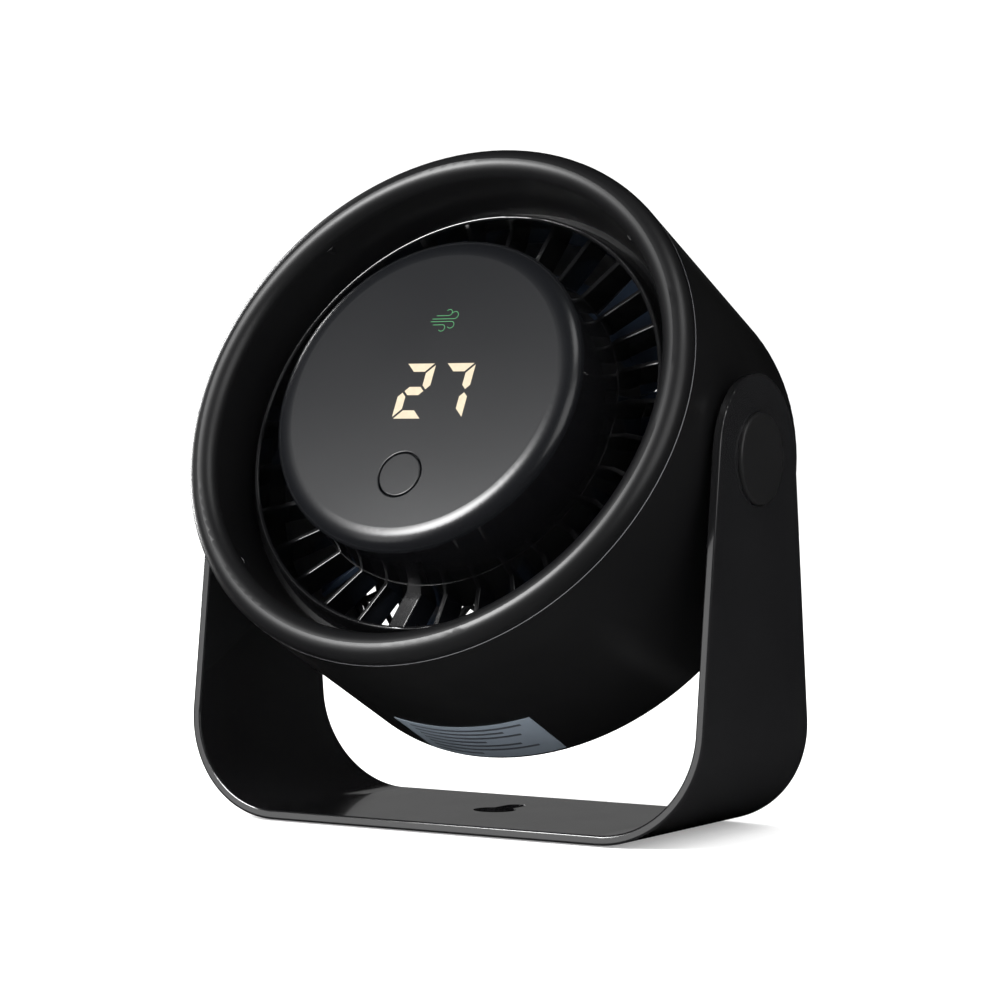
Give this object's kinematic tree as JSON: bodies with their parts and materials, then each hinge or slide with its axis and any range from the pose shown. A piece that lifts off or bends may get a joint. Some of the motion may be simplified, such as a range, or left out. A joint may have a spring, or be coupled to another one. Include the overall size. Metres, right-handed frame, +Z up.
{
  "type": "desk fan",
  "caption": "Round rechargeable desk fan with a lit display on its hub, tilting in a U-shaped stand with a keyhole.",
  "frame": {"origin": "centre of the round hole of the stand's keyhole, level with the floor the pads stand on", "axes": "+Z up, the fan faces -Y, +X to the right of somebody who looks at its front"},
  "size_m": [0.203, 0.1607, 0.2292],
  "materials": {
    "stand_gloss_black": "gloss",
    "casing_satin_black": "satin",
    "bezel_satin_black": "satin",
    "guard_gloss_black": "gloss",
    "hub_gloss_black": "gloss",
    "cover_satin_black": "satin",
    "button_satin_black": "satin",
    "impeller_dark_blue": "satin",
    "shroud_black": "matte",
    "grille_black": "satin",
    "pad_rubber": "matte",
    "bush_nylon": "matte",
    "washer_nylon": "matte",
    "steel": "satin",
    "screw_black_steel": "satin",
    "brass": "satin",
    "copper": "satin",
    "core_steel": "matte",
    "magnet": "matte",
    "board_green": "satin",
    "cell_wrap": "satin",
    "tray_grey": "matte",
    "display_black": "gloss",
    "switch_black": "matte",
    "lead_black": "satin",
    "socket_steel": "satin",
    "label_silver": "satin"
  },
  "bodies": {
    "stand": {"stand_bracket": "stand_gloss_black", "foot_pads": "pad_rubber", "pivot_bush_right": "bush_nylon", "pivot_bush_left": "bush_nylon", "pivot_cap_right": "stand_gloss_black", "pivot_cap_left": "stand_gloss_black"},
    "head": {"pivot_stud_right": "steel", "pivot_stud_left": "steel", "pivot_insert_right": "brass", "pivot_insert_left": "brass", "friction_washer_right": "washer_nylon", "friction_washer_left": "washer_nylon", "drum_shell": "casing_satin_black", "front_bezel": "bezel_satin_black", "front_guard": "guard_gloss_black", "guard_rim": "guard_gloss_black", "hub_housing": "hub_gloss_black", "display_cover": "cover_satin_black", "push_switch": "switch_black", "display_board": "board_green", "display_module": "display_black", "icon_lamp": "display_black", "board_screws": "steel", "hub_screws": "steel", "battery_cells": "cell_wrap", "battery_tray": "tray_grey", "main_board": "board_green", "board_standoffs": "brass", "motor_base": "shroud_black", "motor_bearings": "steel", "motor_stator": "core_steel", "motor_windings": "copper", "driver_board": "board_green", "motor_screws": "steel", "air_shroud": "shroud_black", "bezel_screws": "steel", "rear_screws": "screw_black_steel", "rear_grille": "grille_black", "charging_socket": "socket_steel", "socket_board": "board_green", "power_lead": "lead_black", "motor_lead": "lead_black", "rating_label": "label_silver"},
    "impeller": {"impeller": "impeller_dark_blue", "rotor_bell": "steel", "rotor_magnet": "magnet", "motor_shaft": "steel", "impeller_nut": "brass"},
    "button": {"power_button": "button_satin_black", "switch_plunger": "switch_black"}
  },
  "joints": [
    {"name": "head_tilt", "type": "hinge", "parent": "stand", "child": "head", "pos_m": [0, 0, 0.1244], "axis": [-1, 0, 0], "range_deg": [-115.6, 64.4]},
    {"name": "impeller_spin", "type": "hinge", "parent": "head", "child": "impeller", "pos_m": [0, 0, 0.1244], "axis": [0, -0.9018, 0.4321], "continuous": true},
    {"name": "button_press", "type": "slide", "parent": "head", "child": "button", "axis": [0, 0.9018, -0.4321], "range_m": [0, 0.0006], "stiffness_N_per_m": 1500}
  ]
}
